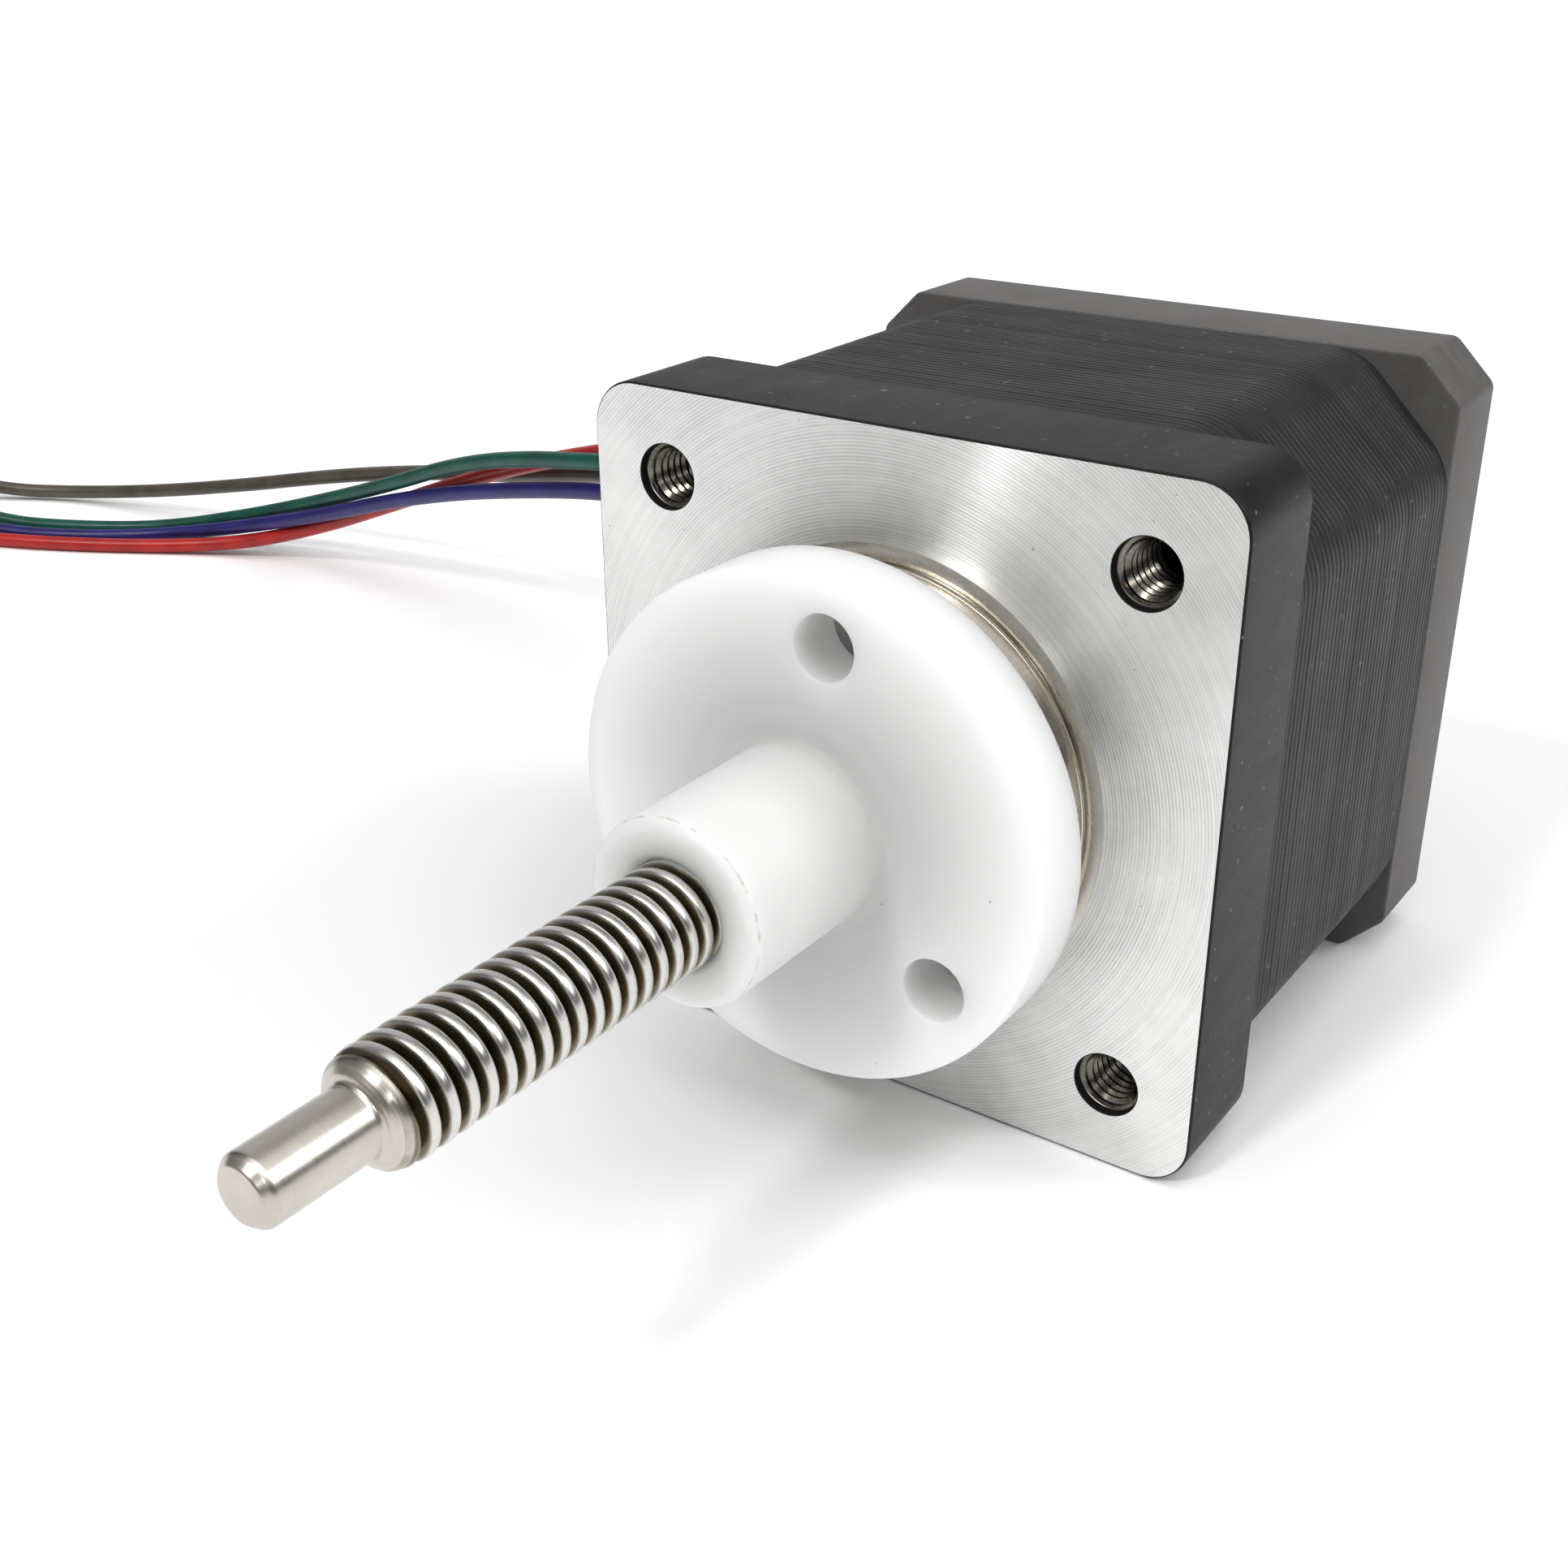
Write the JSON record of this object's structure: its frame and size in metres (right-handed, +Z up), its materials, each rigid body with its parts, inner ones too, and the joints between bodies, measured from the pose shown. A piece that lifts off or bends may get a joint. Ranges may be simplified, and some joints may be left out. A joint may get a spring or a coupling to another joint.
{
  "type": "stepper motor with lead screw",
  "caption": "Square hybrid stepper motor with a threaded screw running out of its front, a white flanged plastic nut on the screw, and colour-coded leads from its rear.",
  "frame": {"origin": "centre of the front mounting face, on the screw axis", "axes": "-Y along the lead screw, out of the motor; +Z up when the motor lies on its flat side; +X to the right, the leads leave towards -X"},
  "size_m": [0.1621, 0.0843, 0.035],
  "materials": {
    "cap_aluminium": "die-cast body with a fine-turned bright front face and satin grey sides",
    "rear_cap_aluminium": "satin, slightly warm grey die casting",
    "laminated_steel": "stacked thin steel sheets with a black coating",
    "bobbin_nylon": "moulded, satin",
    "copper_winding": "enamelled copper wire, glossy",
    "rotor_steel": "stamped and ground",
    "magnet": "sintered magnet, nickel plated",
    "bearing_steel": "hardened and polished",
    "cage_steel": "pressed steel",
    "spring_steel": "spring steel, satin",
    "stainless": "stainless steel, polished rolled thread",
    "screw_steel": "black oxide",
    "board": "glass-fibre board with solder mask",
    "white_plastic": "moulded, off-white",
    "grommet_plastic": "moulded, black, satin",
    "nut_acetal": "machined white acetal, satin",
    "pvc_red": "PVC insulation, satin",
    "pvc_green": "PVC insulation, satin",
    "pvc_black": "PVC insulation, satin",
    "pvc_blue": "PVC insulation, satin",
    "lead_bundle": "four PVC leads wound together"
  },
  "bodies": {
    "motor": {"front_end_cap": "cap_aluminium", "rear_end_cap": "rear_cap_aluminium", "stator_laminations": "laminated_steel", "front_bobbin": "bobbin_nylon", "rear_bobbin": "bobbin_nylon", "phase_a_coils": "copper_winding", "phase_b_coils": "copper_winding", "front_bearing_outer_ring": "bearing_steel", "front_bearing_shields": "cage_steel", "rear_bearing_outer_ring": "bearing_steel", "rear_bearing_shields": "cage_steel", "wave_washer": "spring_steel", "case_screws": "screw_steel", "terminal_board": "board", "terminal_block": "white_plastic", "lead_grommet": "grommet_plastic", "lead_red": "pvc_red", "lead_green": "pvc_green", "lead_black": "pvc_black", "lead_blue": "pvc_blue", "lead_coil": "lead_bundle"},
    "rotor": {"lead_screw": "stainless", "rotor_cup_front": "rotor_steel", "rotor_cup_rear": "rotor_steel", "rotor_magnet": "magnet", "front_spacer": "rotor_steel", "rear_spacer": "rotor_steel", "front_bearing_inner_ring": "bearing_steel", "rear_bearing_inner_ring": "bearing_steel"},
    "front_ball_set": {"front_bearing_balls": "bearing_steel", "front_bearing_cage": "cage_steel"},
    "rear_ball_set": {"rear_bearing_balls": "bearing_steel", "rear_bearing_cage": "cage_steel"},
    "nut": {"flange_nut": "nut_acetal"}
  },
  "joints": [
    {"name": "screw_spin", "type": "hinge", "parent": "motor", "child": "rotor", "pos_m": [0, 0, 0], "axis": [0, 1, 0], "range_deg": [-468, 5760]},
    {"name": "nut_travel", "type": "slide", "parent": "motor", "child": "nut", "axis": [0, -1, 0], "range_m": [-0.00135, 0.0161]},
    {"name": "front_cage_spin", "type": "hinge", "parent": "motor", "child": "front_ball_set", "pos_m": [0, 0.0026, 0], "axis": [0, 1, 0], "range_deg": [-190, 2280]},
    {"name": "rear_cage_spin", "type": "hinge", "parent": "motor", "child": "rear_ball_set", "pos_m": [0, 0.0294, 0], "axis": [0, 1, 0], "range_deg": [-190, 2280]}
  ],
  "couplings": [
    {"joint": "nut_travel", "follows": "screw_spin", "m_per_rad": 0.00015915},
    {"joint": "front_cage_spin", "follows": "screw_spin", "ratio": 0.3944},
    {"joint": "rear_cage_spin", "follows": "screw_spin", "ratio": 0.3944}
  ]
}
